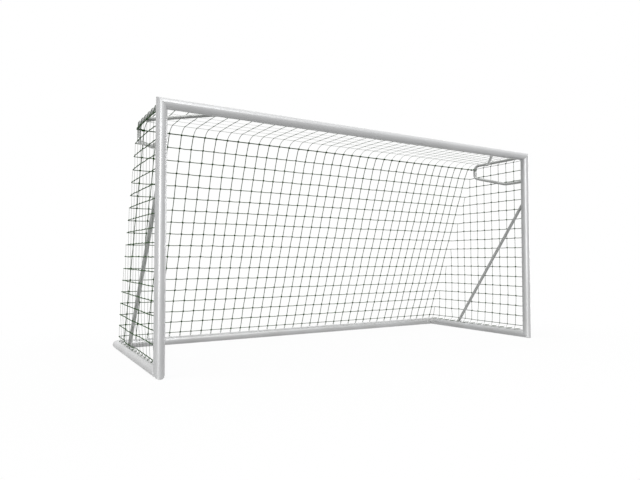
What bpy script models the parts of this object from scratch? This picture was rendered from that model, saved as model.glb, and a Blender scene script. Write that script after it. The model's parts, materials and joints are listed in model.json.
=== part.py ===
"""Junior football goal: a mitred tube frame with net hoops, braces and a square-mesh net.

Metres, +Z up, +X along the crossbar, +Y towards the back of the goal.
The origin lies on the ground, midway between the posts and midway between front and back.
"""

import math

import bmesh
import bpy
from mathutils import Matrix, Vector

# Goal mouth and main frame
MOUTH_WIDTH = 3.66
MOUTH_HEIGHT = 1.83
FRAME_DEPTH = 1.424
TUBE_DIAMETER = 0.076
TUBE_WALL = 0.003
TUBE_SIDES = 32

# Clearance between pieces that touch on the real goal
SEAT_GAP = 0.0003

# Net hoop: a bent tube in the plane of each post, measured back and down from the frame's corner
HOOP_DIAMETER = 0.030
HOOP_WALL = 0.002
HOOP_REACH = 0.680
HOOP_REAR_DROP = 0.136
HOOP_KINK_REACH = 0.248
HOOP_FOOT_DROP = 0.256
HOOP_TOP_RADIUS = 0.057
HOOP_REAR_RADIUS = 0.050
HOOP_KINK_RADIUS = 0.120
BEND_STEP = math.radians(18)
THIN_TUBE_SIDES = 16

# Diagonal brace from the post down to the side bar
BRACE_DIAMETER = 0.030
BRACE_WALL = 0.002
BRACE_POST_HEIGHT = 1.420
BRACE_BAR_REACH = 0.981

# Corner tie between crossbar and hoop: a tube with flattened, bolted ends
TIE_DIAMETER = 0.027
TIE_TAB_THICKNESS = 0.005
TIE_TAB_WIDTH = 0.034
TIE_TAB_END = 0.028
TIE_TAB_BEND = 0.016
TIE_TAB_SQUARENESS = 0.35
TIE_FLARE = 0.045
TIE_CROSSBAR_OFFSET = 0.450
TIE_HOOP_REACH = 0.478
TIE_DROP = 0.008

# Cast corner connector inside the top corners and the rear ground corners
CONNECTOR_LEG = 0.115
CONNECTOR_WALL = 0.008
CONNECTOR_SIDES = 16

# Button-head screws
SCREW_DIAMETER = 0.008
SCREW_LENGTH = 0.016
SCREW_HEAD_DIAMETER = 0.014
SCREW_HEAD_HEIGHT = 0.004
SCREW_CHAMFER = 0.001
SCREW_SIDES = 8
FIRST_SCREW = 0.055
SCREW_PITCH = 0.035
SCREWS_PER_LEG = 2

# Net, drawn with about two of its meshes to each opening
STRAND_DIAMETER = 0.005
ROPE_DIAMETER = 0.008
ROPE_SIDES = 8
ROPE_DROP = 0.040
NET_COLUMNS = 16
BACK_ROWS = 9
TOP_ROWS = 3
SIDE_FRONT_COLUMNS = 3
ROWS_PER_REAR_COLUMN = 3

# Places that follow from the sizes
TUBE_RADIUS = TUBE_DIAMETER / 2
HOOP_RADIUS = HOOP_DIAMETER / 2
STRAND_RADIUS = STRAND_DIAMETER / 2
POST_X = MOUTH_WIDTH / 2 + TUBE_RADIUS
CROSSBAR_Z = MOUTH_HEIGHT + TUBE_RADIUS
GROUND_BAR_Z = TUBE_RADIUS
FRONT_Y = -FRAME_DEPTH / 2
REAR_Y = FRAME_DEPTH / 2
HOOP_REAR_Y = FRONT_Y + HOOP_REACH
TUBE_BORE = TUBE_RADIUS - TUBE_WALL

# The top and back nets touch the hoops, and the side nets lie just outside them
NET_SPACING = STRAND_DIAMETER + SEAT_GAP
NET_EDGE_X = POST_X + HOOP_RADIUS + STRAND_RADIUS + SEAT_GAP
SIDE_NET_X = NET_EDGE_X + NET_SPACING
NET_TOP_Z = CROSSBAR_Z + HOOP_RADIUS + STRAND_RADIUS + SEAT_GAP

SIDES = {"left": -1, "right": 1}
X_AXIS = Vector((1, 0, 0))
Y_AXIS = Vector((0, 1, 0))
Z_AXIS = Vector((0, 0, 1))


def clear_scene():
    for obj in list(bpy.data.objects):
        bpy.data.objects.remove(obj, do_unlink=True)


def new_collection(name):
    collection = bpy.data.collections.new(name)
    bpy.context.scene.collection.children.link(collection)
    return collection


def material(name, colour, roughness, metallic=0.0):
    found = bpy.data.materials.get(name)
    if found:
        return found
    made = bpy.data.materials.new(name)
    made.use_nodes = True
    shader = made.node_tree.nodes["Principled BSDF"]
    shader.inputs["Base Color"].default_value = (*colour, 1.0)
    shader.inputs["Roughness"].default_value = roughness
    shader.inputs["Metallic"].default_value = metallic
    return made


def white_coat():
    return material("white_powder_coat", (0.80, 0.81, 0.82), 0.38)


def cast_metal():
    return material("cast_aluminium", (0.60, 0.61, 0.62), 0.50, 1.0)


def screw_steel():
    return material("screw_steel", (0.66, 0.66, 0.65), 0.32, 1.0)


def net_cord():
    return material("green_net_cord", (0.02, 0.10, 0.05), 0.75)


def add_object(name, mesh, finish, place=None):
    obj = bpy.data.objects.new(name, mesh)
    PARTS.objects.link(obj)
    if place is not None:
        obj.matrix_world = place
    if finish is not None:
        mesh.materials.clear()
        mesh.materials.append(finish)
    return obj


def add_cutter(name, mesh, place=None):
    obj = bpy.data.objects.new(name, mesh)
    CUTTERS.objects.link(obj)
    if place is not None:
        obj.matrix_world = place
    obj.hide_render = True
    obj.display_type = "WIRE"
    return obj


def cut(obj, cutter):
    modifier = obj.modifiers.new("cut_" + cutter.name, "BOOLEAN")
    modifier.operation = "DIFFERENCE"
    modifier.solver = "EXACT"
    modifier.object = cutter


def smooth(mesh):
    mesh.shade_smooth()
    mesh.set_sharp_from_angle(angle=math.radians(40))


def made_mesh(guide, name):
    """The mesh that a guide curve or profile makes, welded; the guide itself is removed."""
    bpy.context.view_layer.update()
    evaluated = guide.evaluated_get(bpy.context.evaluated_depsgraph_get())
    mesh = bpy.data.meshes.new_from_object(evaluated)
    mesh.name = name
    bpy.data.objects.remove(guide)
    bm = bmesh.new()
    bm.from_mesh(mesh)
    bmesh.ops.remove_doubles(bm, verts=bm.verts, dist=1e-6)
    bmesh.ops.recalc_face_normals(bm, faces=bm.faces)
    bm.to_mesh(mesh)
    bm.free()
    smooth(mesh)
    return mesh


def frame_of(origin, direction):
    """A placement whose local Z runs along the direction."""
    z = Vector(direction).normalized()
    x = Y_AXIS.cross(z) if abs(z.dot(Y_AXIS)) < 0.9 else Z_AXIS.cross(z)
    x.normalize()
    rotation = Matrix((x, z.cross(x), z)).transposed().to_4x4()
    return Matrix.Translation(origin) @ rotation


def wall(bm, radius, length, sides, overrun):
    """An open round wall along local Z, its flats facing the local axes."""
    reach = length + 2 * overrun
    bmesh.ops.create_cone(
        bm,
        cap_ends=False,
        segments=sides,
        radius1=radius / math.cos(math.pi / sides),
        radius2=radius / math.cos(math.pi / sides),
        depth=reach,
        matrix=Matrix.Translation((0, 0, length / 2)) @ Matrix.Rotation(math.pi / sides, 4, "Z"),
    )


def slice_off(bm, point, normal):
    everything = bm.verts[:] + bm.edges[:] + bm.faces[:]
    bmesh.ops.bisect_plane(
        bm, geom=everything, dist=1e-7, plane_co=point, plane_no=normal, clear_outer=True
    )


def bar(start, end, radius, sides, bore=0.0, turns=(None, None), gap=SEAT_GAP / 2, close=(True, True)):
    """Mesh and placement of a straight bar or tube from start to end.

    A turn is the direction in which the next bar leaves that corner: the end is mitred for it.
    """
    axis = (end - start).normalized()
    length = (end - start).length
    place = frame_of(start, axis)
    turn_back = place.to_3x3().inverted()
    bm = bmesh.new()
    if bore:
        wall(bm, bore, length, sides, 2 * radius)
        bmesh.ops.reverse_faces(bm, faces=bm.faces)
    wall(bm, radius, length, sides, 2 * radius)
    ends = ((0.0, -Z_AXIS, turns[0]), (length, Z_AXIS, turns[1]))
    for height, outward, turn in ends:
        normal = outward if turn is None else (outward + turn_back @ turn).normalized()
        offset = 0.0 if turn is None else gap
        slice_off(bm, Vector((0, 0, height)) - normal * offset, normal)
    for closed, (height, _, _) in zip(close, ends):
        if not closed:
            continue
        rim = [e for e in bm.edges if e.is_boundary and abs(e.verts[0].co.z - height) < length / 2]
        if bore:
            bmesh.ops.bridge_loops(bm, edges=rim)
        else:
            bmesh.ops.contextual_create(bm, geom=rim)
    bmesh.ops.recalc_face_normals(bm, faces=bm.faces)
    mesh = bpy.data.meshes.new("bar")
    bm.to_mesh(mesh)
    bm.free()
    return mesh, place


def add_bar(name, start, end, finish, turns=(None, None), radius=None, wall_thickness=None, sides=None):
    radius = radius or TUBE_RADIUS
    wall_thickness = wall_thickness or TUBE_WALL
    sides = sides or TUBE_SIDES
    mesh, place = bar(start, end, radius, sides, radius - wall_thickness, turns)
    mesh.name = name
    smooth(mesh)
    return add_object(name, mesh, finish, place)


def rod_cutter(name, start, end, radius, sides, turns=(None, None), gap=0.0):
    mesh, place = bar(start, end, radius, sides, 0.0, turns, gap)
    return add_cutter(name, mesh, place)


def tube_cutter(name, start, end, turns=(None, None)):
    """The space of a main tube with its clearance, which shapes whatever is coped to it."""
    return rod_cutter(name, start, end, TUBE_RADIUS + SEAT_GAP, TUBE_SIDES, turns, -SEAT_GAP)


def corners(side):
    """The axis corners of the frame on one side: top front, foot front and foot rear."""
    x = side * POST_X
    return (
        Vector((x, FRONT_Y, CROSSBAR_Z)),
        Vector((x, FRONT_Y, GROUND_BAR_Z)),
        Vector((x, REAR_Y, GROUND_BAR_Z)),
    )


def rounded_path(corner_list):
    """Points along straight runs joined by arcs; each corner is a point and its bend radius."""
    points = [corner_list[0][0]]
    for (before, _), (corner, radius), (after, _) in zip(corner_list, corner_list[1:], corner_list[2:]):
        arriving = (corner - before).normalized()
        leaving = (after - corner).normalized()
        turn = arriving.angle(leaving)
        tangent = radius * math.tan(turn / 2)
        inward = (leaving - arriving).normalized()
        centre = corner + inward * (radius / math.cos(turn / 2))
        axis = arriving.cross(leaving).normalized()
        arm = corner - arriving * tangent - centre
        steps = max(1, round(turn / BEND_STEP))
        for step in range(steps + 1):
            points.append(centre + Matrix.Rotation(turn * step / steps, 3, axis) @ arm)
    points.append(corner_list[-1][0])
    return points


def swept_tube(name, points, radius, wall_thickness, sides):
    """A bent tube: a curve's round skin, made a mesh and thickened inwards."""
    curve = bpy.data.curves.new(name + "_path", "CURVE")
    curve.dimensions = "3D"
    curve.twist_mode = "MINIMUM"
    curve.bevel_depth = radius
    curve.bevel_resolution = sides // 2 - 2
    curve.use_fill_caps = not wall_thickness
    spline = curve.splines.new("POLY")
    spline.points.add(len(points) - 1)
    for point, place in zip(spline.points, points):
        point.co = (*place, 1.0)
    path = bpy.data.objects.new(name + "_path", curve)
    CUTTERS.objects.link(path)
    mesh = made_mesh(path, name)
    obj = add_object(name, mesh, None)
    if wall_thickness:
        shell = obj.modifiers.new("tube_wall", "SOLIDIFY")
        shell.thickness = wall_thickness
        shell.offset = -1
    return obj


def screw_mesh():
    """A button-head screw: its seat lies at the local origin and its shank runs along -Z."""
    shank = SCREW_DIAMETER / 2
    head = SCREW_HEAD_DIAMETER / 2
    outline = (
        (0, SCREW_HEAD_HEIGHT),
        (head / 2, SCREW_HEAD_HEIGHT),
        (head, SCREW_HEAD_HEIGHT / 3),
        (head, 0),
        (shank, 0),
        (shank, SCREW_CHAMFER - SCREW_LENGTH),
        (shank - SCREW_CHAMFER, -SCREW_LENGTH),
        (0, -SCREW_LENGTH),
    )
    profile = bpy.data.meshes.new("screw_profile")
    edges = [(i, i + 1) for i in range(len(outline) - 1)]
    profile.from_pydata([(r, 0, z) for r, z in outline], edges, [])
    turned = bpy.data.objects.new("screw_profile", profile)
    CUTTERS.objects.link(turned)
    spin = turned.modifiers.new("turn", "SCREW")
    spin.steps = SCREW_SIDES
    spin.render_steps = SCREW_SIDES
    spin.use_merge_vertices = True
    spin.merge_threshold = 0.00001
    mesh = made_mesh(turned, "button_head_screw")
    mesh.materials.append(screw_steel())
    return mesh


def screw_hole(name, seat, inward):
    """Cutter for the screw's hole, from outside its seat to past its tip."""
    radius = SCREW_DIAMETER / 2 + SEAT_GAP
    start = seat - inward * SCREW_HEAD_HEIGHT
    end = seat + inward * (SCREW_LENGTH + SCREW_CHAMFER)
    return rod_cutter(name, start, end, radius, SCREW_SIDES)


def add_screw(name, seat, inward, mesh, carriers):
    """A screw driven inwards at its seat, with its hole cut through the pieces that it joins."""
    obj = bpy.data.objects.new(name, mesh)
    PARTS.objects.link(obj)
    obj.matrix_world = frame_of(seat, -inward)
    hole = screw_hole(name + "_hole", seat, inward)
    for carrier in carriers:
        cut(carrier, hole)


def add_connector(name, corner, leg_a, leg_b):
    """An L-shaped cast sleeve: one hollow leg, mirrored in the mitre plane."""
    outer = (TUBE_BORE - SEAT_GAP) * math.cos(math.pi / CONNECTOR_SIDES)
    mesh, place = bar(
        corner + leg_a * CONNECTOR_LEG,
        corner,
        outer,
        CONNECTOR_SIDES,
        outer - CONNECTOR_WALL,
        (None, leg_b),
        0.0,
        (True, False),
    )
    mesh.name = name
    smooth(mesh)
    obj = add_object(name, mesh, cast_metal(), place)
    plane = bpy.data.objects.new(name + "_mitre", None)
    CUTTERS.objects.link(plane)
    plane.matrix_world = Matrix.Translation(corner) @ (leg_b - leg_a).to_track_quat("X", "Z").to_matrix().to_4x4()
    mirror = obj.modifiers.new("second_leg", "MIRROR")
    mirror.mirror_object = plane
    mirror.merge_threshold = 0.00005
    return obj


def add_frame():
    """The six main tubes, mitred where they meet."""
    tubes = {}
    for label, side in SIDES.items():
        top, foot, rear = corners(side)
        inward = X_AXIS * -side
        tubes[label + "_post"] = add_bar(label + "_post", foot, top, white_coat(), (Y_AXIS, inward))
        tubes[label + "_side_bar"] = add_bar(
            label + "_side_bar", foot, rear, white_coat(), (Z_AXIS, inward)
        )
    left_top, _, left_rear = corners(-1)
    right_top, _, right_rear = corners(1)
    tubes["crossbar"] = add_bar("crossbar", left_top, right_top, white_coat(), (-Z_AXIS, -Z_AXIS))
    tubes["rear_bar"] = add_bar("rear_bar", left_rear, right_rear, white_coat(), (-Y_AXIS, -Y_AXIS))
    return tubes


def add_connectors(tubes, screw):
    """Sleeves in the demountable corners, each leg screwed through the tube's wall."""
    for label, side in SIDES.items():
        top, _, rear = corners(side)
        inward = X_AXIS * -side
        joints = (
            ("top", top, ((label + "_post", -Z_AXIS, -Y_AXIS), ("crossbar", inward, -Y_AXIS))),
            ("rear", rear, ((label + "_side_bar", -Y_AXIS, -inward), ("rear_bar", inward, Y_AXIS))),
        )
        for place, corner, legs in joints:
            connector = add_connector(f"{label}_{place}_connector", corner, legs[0][1], legs[1][1])
            for tube, along, driven in legs:
                owner = tube if tube.startswith(label) else f"{label}_{tube}"
                for index in range(SCREWS_PER_LEG):
                    axis_point = corner + along * (FIRST_SCREW + index * SCREW_PITCH)
                    seat = axis_point - driven * (TUBE_RADIUS + SEAT_GAP)
                    name = f"{owner}_{place}_screw_{index + 1}"
                    add_screw(name, seat, driven, screw, (tubes[tube], connector))


def add_hoop(label, side):
    """The bent tube that carries the net's top edge, coped to the frame's corner and to the post."""
    top, foot, _ = corners(side)
    path = rounded_path(
        (
            (top, 0),
            (top + Y_AXIS * HOOP_REACH, HOOP_TOP_RADIUS),
            (top + Y_AXIS * HOOP_REACH - Z_AXIS * HOOP_REAR_DROP, HOOP_REAR_RADIUS),
            (top + Y_AXIS * HOOP_KINK_REACH - Z_AXIS * HOOP_FOOT_DROP, HOOP_KINK_RADIUS),
            (top - Z_AXIS * HOOP_FOOT_DROP, 0),
        )
    )
    hoop = swept_tube(label + "_net_hoop", path, HOOP_RADIUS, HOOP_WALL, THIN_TUBE_SIDES)
    hoop.data.materials.append(white_coat())
    inward = X_AXIS * -side
    cut(hoop, tube_cutter(label + "_post_space", foot, top, (None, inward)))
    cut(hoop, tube_cutter(label + "_crossbar_space", Vector((0, top.y, top.z)), top, (None, -Z_AXIS)))
    return hoop


def add_brace(label, side):
    """The diagonal tube between post and side bar, coped to both."""
    top, foot, rear = corners(side)
    on_post = Vector((foot.x, foot.y, BRACE_POST_HEIGHT))
    on_bar = foot + Y_AXIS * BRACE_BAR_REACH
    brace = add_bar(
        label + "_diagonal_brace",
        on_post,
        on_bar,
        white_coat(),
        radius=BRACE_DIAMETER / 2,
        wall_thickness=BRACE_WALL,
        sides=THIN_TUBE_SIDES,
    )
    cut(brace, tube_cutter(label + "_brace_post_space", foot, top))
    cut(brace, tube_cutter(label + "_brace_bar_space", foot, rear))


def tie_section(centre, along, half_thickness, half_width, squareness):
    """One ring of the tie: an oval, squarer as its squareness falls below one."""
    across = along.cross(Z_AXIS).normalized()
    ring = []
    for index in range(THIN_TUBE_SIDES):
        angle = 2 * math.pi * (index + 0.5) / THIN_TUBE_SIDES
        bulge = math.copysign(abs(math.cos(angle)) ** squareness, math.cos(angle))
        ring.append(centre + across * (half_thickness * bulge) + Z_AXIS * (half_width * math.sin(angle)))
    return ring


def add_tie(label, side, tubes, hoop, screw):
    """The horizontal corner tie, lofted from flattened tabs to a round tube."""
    top = corners(side)[0]
    half_tab = TIE_TAB_THICKNESS / 2
    level = top - Z_AXIS * TIE_DROP
    outward = X_AXIS * side
    on_crossbar = level - outward * TIE_CROSSBAR_OFFSET + Y_AXIS * (TUBE_RADIUS + SEAT_GAP + half_tab)
    on_hoop = level - outward * (HOOP_RADIUS + SEAT_GAP + half_tab) + Y_AXIS * TIE_HOOP_REACH
    bend_a = on_crossbar + outward * TIE_TAB_BEND
    bend_b = on_hoop - Y_AXIS * TIE_TAB_BEND
    run = (bend_b - bend_a).normalized()
    flat = (half_tab, TIE_TAB_WIDTH / 2, TIE_TAB_SQUARENESS)
    round_section = (TIE_DIAMETER / 2, TIE_DIAMETER / 2, 1.0)
    stations = (
        (on_crossbar - outward * TIE_TAB_END, outward, flat),
        (bend_a, (outward + run).normalized(), flat),
        (bend_a + run * TIE_FLARE, run, round_section),
        (bend_b - run * TIE_FLARE, run, round_section),
        (bend_b, (run + Y_AXIS).normalized(), flat),
        (on_hoop + Y_AXIS * TIE_TAB_END, Y_AXIS, flat),
    )
    bm = bmesh.new()
    rings = []
    for centre, along, section in stations:
        rings.append([bm.verts.new(point) for point in tie_section(centre, along, *section)])
    for near, far in zip(rings, rings[1:]):
        for index in range(THIN_TUBE_SIDES):
            after = (index + 1) % THIN_TUBE_SIDES
            bm.faces.new((near[index], near[after], far[after], far[index]))
    bm.faces.new(rings[0])
    bm.faces.new(rings[-1])
    bmesh.ops.recalc_face_normals(bm, faces=bm.faces)
    mesh = bpy.data.meshes.new(label + "_corner_tie")
    bm.to_mesh(mesh)
    bm.free()
    smooth(mesh)
    tie = add_object(label + "_corner_tie", mesh, white_coat())
    lift = half_tab + SEAT_GAP
    add_screw(
        f"{label}_tie_crossbar_screw", on_crossbar + Y_AXIS * lift, -Y_AXIS, screw, (tie, tubes["crossbar"])
    )
    add_screw(f"{label}_tie_hoop_screw", on_hoop - outward * lift, outward, screw, (tie, hoop))


def shoulder(offset):
    """Height of a strand's axis above a main tube's axis, at a sideways offset from it."""
    reach = TUBE_RADIUS + STRAND_RADIUS + SEAT_GAP
    return math.sqrt(reach * reach - offset * offset)


def rope_place():
    """(y, z) of the head rope's axis, seated on the outside of the hoop's upper bend."""
    z = CROSSBAR_Z - ROPE_DROP
    bend_y = HOOP_REAR_Y - HOOP_TOP_RADIUS
    bend_z = CROSSBAR_Z - HOOP_TOP_RADIUS
    reach = HOOP_TOP_RADIUS + HOOP_RADIUS + ROPE_DIAMETER / 2 + SEAT_GAP
    return bend_y + math.sqrt(reach * reach - (z - bend_z) ** 2), z


def add_net_panel(name, columns, rows, place, extra=None):
    """A panel of net: a flat grid whose points are set by a rule and whose edges become strands."""
    bm = bmesh.new()
    bmesh.ops.create_grid(bm, x_segments=columns, y_segments=rows, size=1)
    for vert in bm.verts:
        column = round((vert.co.x + 1) / 2 * columns)
        row = round((vert.co.y + 1) / 2 * rows)
        vert.co = place(column, row)
    bmesh.ops.remove_doubles(bm, verts=bm.verts, dist=1e-5)
    if extra:
        extra(bm)
    mesh = bpy.data.meshes.new(name)
    bm.to_mesh(mesh)
    bm.free()
    panel = add_object(name, mesh, net_cord())
    strands = panel.modifiers.new("strands", "WIREFRAME")
    strands.thickness = STRAND_DIAMETER
    strands.use_even_offset = True
    strands.use_boundary = True
    strands.use_replace = True
    return panel


def add_nets():
    """Top, back and side panels, which meet along the head rope and the rear corners."""
    rope_y, rope_z = rope_place()
    above_rope = rope_z + ROPE_DIAMETER / 2 + STRAND_RADIUS + SEAT_GAP
    below_rope = rope_z - ROPE_DIAMETER / 2 - STRAND_RADIUS - SEAT_GAP
    front_edge = FRONT_Y + shoulder(NET_TOP_Z - CROSSBAR_Z)
    bend_y = HOOP_REAR_Y - HOOP_TOP_RADIUS
    back_foot_z = GROUND_BAR_Z + shoulder(0.0)

    def across(column):
        return NET_EDGE_X * (2 * column / NET_COLUMNS - 1)

    def top_point(column, row):
        if row > TOP_ROWS:
            return across(column), rope_y, above_rope
        return across(column), front_edge + (bend_y - front_edge) * row / TOP_ROWS, NET_TOP_Z

    def back_point(column, row):
        down = row / BACK_ROWS
        y = rope_y + (REAR_Y - rope_y) * down
        return across(column), y, below_rope + (back_foot_z - below_rope) * down

    add_net_panel("top_net", NET_COLUMNS, TOP_ROWS + 1, top_point)
    add_net_panel("back_net", NET_COLUMNS, BACK_ROWS, back_point)

    shoulder_x = SIDE_NET_X - POST_X
    side_front = FRONT_Y + shoulder(shoulder_x)
    side_foot_z = GROUND_BAR_Z + shoulder(shoulder_x)

    def row_height(row):
        return NET_TOP_Z + (side_foot_z - NET_TOP_Z) * row / BACK_ROWS

    def rear_edge(z):
        share = (below_rope - z) / (below_rope - side_foot_z)
        return rope_y + (REAR_Y - rope_y) * max(0.0, share)

    def column_place(column):
        if column <= SIDE_FRONT_COLUMNS:
            return side_front + (rope_y - side_front) * column / SIDE_FRONT_COLUMNS
        ends_at_row = (column - SIDE_FRONT_COLUMNS) * ROWS_PER_REAR_COLUMN
        return rear_edge(row_height(ends_at_row))

    for label, side in SIDES.items():

        def side_point(column, row, side=side):
            z = row_height(row)
            if row == 0 and column >= SIDE_FRONT_COLUMNS:
                return side * SIDE_NET_X, rope_y, above_rope
            return side * SIDE_NET_X, min(column_place(column), rear_edge(z)), z

        def round_the_bend(bm, side=side):
            """The panel's top edge keeps the hoop's height as far as the bend."""
            last_top = Vector((side * SIDE_NET_X, column_place(SIDE_FRONT_COLUMNS - 1), NET_TOP_Z))
            at_rope = Vector((side * SIDE_NET_X, rope_y, above_rope))
            ends = (last_top, at_rope)
            edge = next(
                e for e in bm.edges if all(min((v.co - p).length for p in ends) < 1e-4 for v in e.verts)
            )
            made = bmesh.ops.subdivide_edges(bm, edges=[edge], cuts=1)
            middle = next(item for item in made["geom_inner"] if isinstance(item, bmesh.types.BMVert))
            middle.co = (side * SIDE_NET_X, bend_y, NET_TOP_Z)

        columns = SIDE_FRONT_COLUMNS + BACK_ROWS // ROWS_PER_REAR_COLUMN
        add_net_panel(label + "_net", columns, BACK_ROWS, side_point, round_the_bend)


def add_head_rope():
    """The taut rope between the hoops, along the seam of top and back net."""
    y, z = rope_place()
    points = [Vector((-NET_EDGE_X, y, z)), Vector((NET_EDGE_X, y, z))]
    rope = swept_tube("head_rope", points, ROPE_DIAMETER / 2, 0, ROPE_SIDES)
    rope.data.materials.append(net_cord())


def build():
    screw = screw_mesh()
    tubes = add_frame()
    add_connectors(tubes, screw)
    for label, side in SIDES.items():
        hoop = add_hoop(label, side)
        add_brace(label, side)
        add_tie(label, side, tubes, hoop, screw)
    add_nets()
    add_head_rope()


clear_scene()
PARTS = new_collection("football_goal")
CUTTERS = new_collection("cutters")
build()
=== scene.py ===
"""The junior football goal dressed for a studio picture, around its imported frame.

Metres, +Z up, +X along the crossbar, +Y towards the back of the net.
The tubes are the frame's own nodes with a painted finish. The net, its ropes and hooks,
the weld beads and the screws are made here. The net's squares are measured in the photograph,
its cords are as thick as they read there, and the small fittings have usual sizes.
"""

import json
import math

import bpy
import numpy as np
from mathutils import Matrix, Vector

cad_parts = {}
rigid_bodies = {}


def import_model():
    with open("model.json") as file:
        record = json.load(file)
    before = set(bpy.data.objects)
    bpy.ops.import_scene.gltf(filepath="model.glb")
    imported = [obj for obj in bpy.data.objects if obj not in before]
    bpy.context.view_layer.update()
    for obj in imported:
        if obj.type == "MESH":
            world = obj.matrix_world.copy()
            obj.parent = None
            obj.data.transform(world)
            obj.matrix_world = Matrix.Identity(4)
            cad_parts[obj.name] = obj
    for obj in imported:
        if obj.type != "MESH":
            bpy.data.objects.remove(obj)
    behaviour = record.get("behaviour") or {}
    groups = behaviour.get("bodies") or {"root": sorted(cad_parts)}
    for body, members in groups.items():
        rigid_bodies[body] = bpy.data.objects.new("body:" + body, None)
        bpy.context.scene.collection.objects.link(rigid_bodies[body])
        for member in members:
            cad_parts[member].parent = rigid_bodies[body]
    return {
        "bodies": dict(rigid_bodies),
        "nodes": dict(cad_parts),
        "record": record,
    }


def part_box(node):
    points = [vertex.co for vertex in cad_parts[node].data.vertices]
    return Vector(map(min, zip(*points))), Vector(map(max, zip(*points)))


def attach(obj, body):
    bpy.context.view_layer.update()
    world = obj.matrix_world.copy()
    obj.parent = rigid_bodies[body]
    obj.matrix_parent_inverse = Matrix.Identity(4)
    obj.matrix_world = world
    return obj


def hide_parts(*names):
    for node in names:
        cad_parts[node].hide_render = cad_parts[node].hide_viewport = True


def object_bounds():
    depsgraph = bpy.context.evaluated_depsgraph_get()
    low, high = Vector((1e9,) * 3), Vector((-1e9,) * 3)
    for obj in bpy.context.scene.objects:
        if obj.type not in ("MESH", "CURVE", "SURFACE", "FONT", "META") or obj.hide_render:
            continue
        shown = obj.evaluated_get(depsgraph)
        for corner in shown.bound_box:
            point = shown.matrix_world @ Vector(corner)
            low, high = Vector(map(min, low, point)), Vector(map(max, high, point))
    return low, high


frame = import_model()
cad_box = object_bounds()

BODY = next(iter(frame["bodies"]))
RANDOM = np.random.default_rng(12)
SIDES = {"left": -1, "right": 1}
X_AXIS = np.array((1.0, 0.0, 0.0))
Y_AXIS = np.array((0.0, 1.0, 0.0))
Z_AXIS = np.array((0.0, 0.0, 1.0))


def middle(node):
    low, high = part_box(node)
    return (low + high) / 2


def half_size(node):
    low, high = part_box(node)
    return (high - low) / 2


# The frame's tubes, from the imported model
TUBE_RADIUS = half_size("rear_bar").z
POST_X = middle("right_post").x
FRONT_Y = middle("crossbar").y
REAR_Y = middle("rear_bar").y
CROSSBAR_Z = middle("crossbar").z
BAR_Z = middle("rear_bar").z
HOOP_RADIUS = half_size("right_net_hoop").x
HOOP_REAR_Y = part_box("right_net_hoop")[1].y - HOOP_RADIUS

# Bent and slanted tubes, as in the model's source
HOOP_TOP_RADIUS = 0.057
HOOP_FOOT_DROP = 0.256
BRACE_RADIUS = 0.015
BRACE_POST_HEIGHT = 1.420
BRACE_BAR_REACH = 0.981

# Camera, solved from the edges of the six main tubes
CAMERA_PLACE = (-2.8123, -4.3897, 0.7965)
CAMERA_TURN = (92.125, 0.0, -30.934)
CAMERA_LENS = 30.277
CAMERA_SENSOR = 36.0
CAMERA_REACH = 200.0

# Knots of the back panel as the camera sees them: an even grid on a leaning plane
SEEN_COLUMN_START = -0.0304
SEEN_COLUMN_PITCH = 0.09986
SEEN_ROW_START = 1.7242
SEEN_ROW_PITCH = 0.10002
SEEN_SLOPE = 0.3761
SEEN_LEVEL = 1.828
SEEN_DEPTH = -0.0135

# Depth and height at which the head rope and the top panel's last row are seen
SEEN_ROPE = (-0.031, 1.8237)
SEEN_LIGHT_ROW = (-0.1225, 1.8741)

# Search along a line of sight, between two shares of the seen distance
SIGHT_NEAR = 0.9
SIGHT_FAR = 1.1
SIGHT_STEPS = 30

# Net squares, and how the side panels hang off their even grid, measured in the photograph
COLUMNS_EACH_WAY = 18
ROW_COUNT = 17
TOP_COLUMN_PITCH = 0.10096
TOP_ROW_PITCH = 0.1006
TOP_ROW_COUNT = 5
LIGHT_ROW_REACH = 0.609
LIGHT_ROW_DROP = 0.0045
SIDE_FIRST_REACH = 0.142
SIDE_PITCH = 0.103
SIDE_COUNT = 13
SIDE_FIRST_DROP = 0.1295
EDGE_ROW_HEIGHT = 0.1163
HEAD_ROW_RISE = 0.0100
LEFT_ROW_DROP = 0.0075
LEFT_EDGE_DROP = 0.019
RIGHT_TOP_SHIFT = 0.010
RIGHT_SHIFT_START = 0.2
RIGHT_SHIFT_RISE = 1.6

# How the panels hang and fold
FOLD_INSET = 0.007
FOLD_RADII = {"left": 0.005, "right": 0.022}
FOLD_MARGIN = 0.020
EDGE_FOLD_MARGIN = 0.010
QUARTER_TURN = (0, 22.5, 45, 67.5, 90)
BACK_GAP = 0.002
BACK_SWELL = 0.030
BACK_SWELL_SHARE = 0.06
SIDE_DRAW_IN = 0.35
BRACE_CLEAR = 0.09
BRACE_EASE = 0.12
HEAD_ROW_BEYOND = 0.05
HEAD_ROW_TURN = 2.5 * math.pi
HEAD_FOLD_DROP = 0.02
TOP_ARCH = (0.0, 0.006, 0.007)
ARCH_SHARES = (0.25, 0.5, 0.75)

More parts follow.
